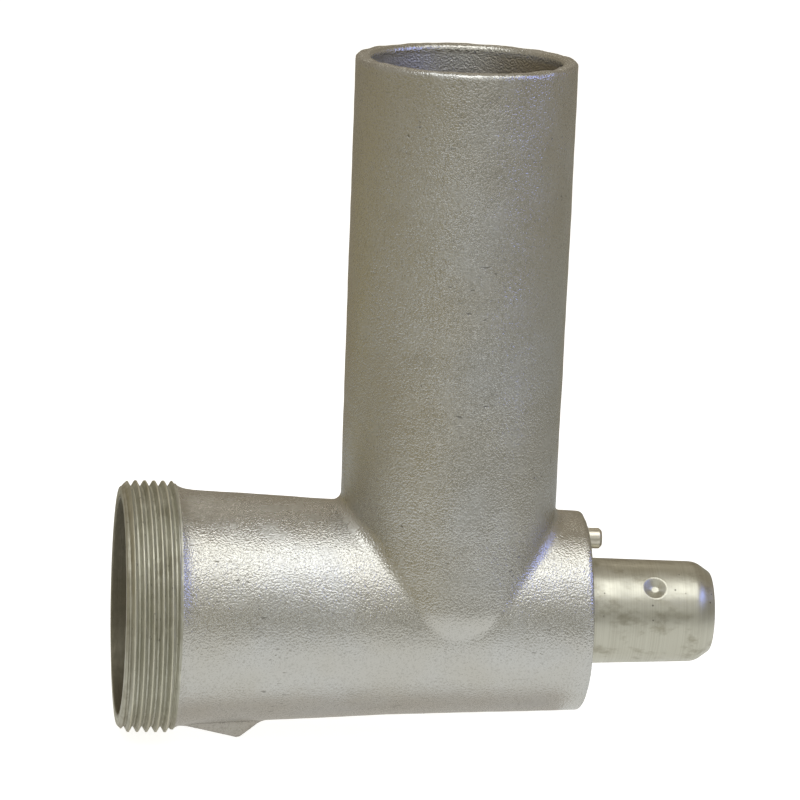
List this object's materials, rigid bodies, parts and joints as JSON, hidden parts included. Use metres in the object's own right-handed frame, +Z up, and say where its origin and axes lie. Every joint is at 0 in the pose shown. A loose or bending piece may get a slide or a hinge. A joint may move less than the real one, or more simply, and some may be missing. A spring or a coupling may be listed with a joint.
{
  "type": "meat mincer head",
  "caption": "Cast mincer head with a tall feed neck, threaded mouth, hub spigot with locating pin, and a feed worm inside that spins and draws out.",
  "frame": {"origin": "on the barrel's axis, at the rear face of the housing where the hub spigot leaves it", "axes": "+X along the barrel towards the spigot, -X towards the threaded mouth, +Z up along the feed neck"},
  "size_m": [0.1948, 0.082, 0.2243],
  "materials": {
    "tinned_iron": "hot tinned, orange-peel grain",
    "worm_iron": "hot tinned, worn on the flight",
    "spigot_steel": "turned, light stains",
    "pin_steel": "ground, warm",
    "key_steel": "ground",
    "shank_steel": "turned",
    "bronze": "turned bronze",
    "seal_rubber": "matte",
    "washer_nylon": "moulded"
  },
  "bodies": {
    "head": {"housing": "tinned_iron", "mounting_spigot": "spigot_steel", "locating_pin": "pin_steel", "plate_key": "key_steel", "shank_bush_inner": "bronze", "shank_bush_outer": "bronze", "shank_seal": "seal_rubber"},
    "washer": {"thrust_washer": "washer_nylon"},
    "worm": {"feed_worm": "worm_iron", "drive_shank": "shank_steel", "shank_pin": "pin_steel", "knife_stud": "shank_steel"}
  },
  "joints": [
    {"name": "worm_draw", "type": "slide", "parent": "head", "child": "washer", "axis": [-1, 0, 0], "range_m": [0, 0.19]},
    {"name": "worm_spin", "type": "hinge", "parent": "washer", "child": "worm", "pos_m": [0, 0, 0], "axis": [1, 0, 0], "continuous": true}
  ]
}
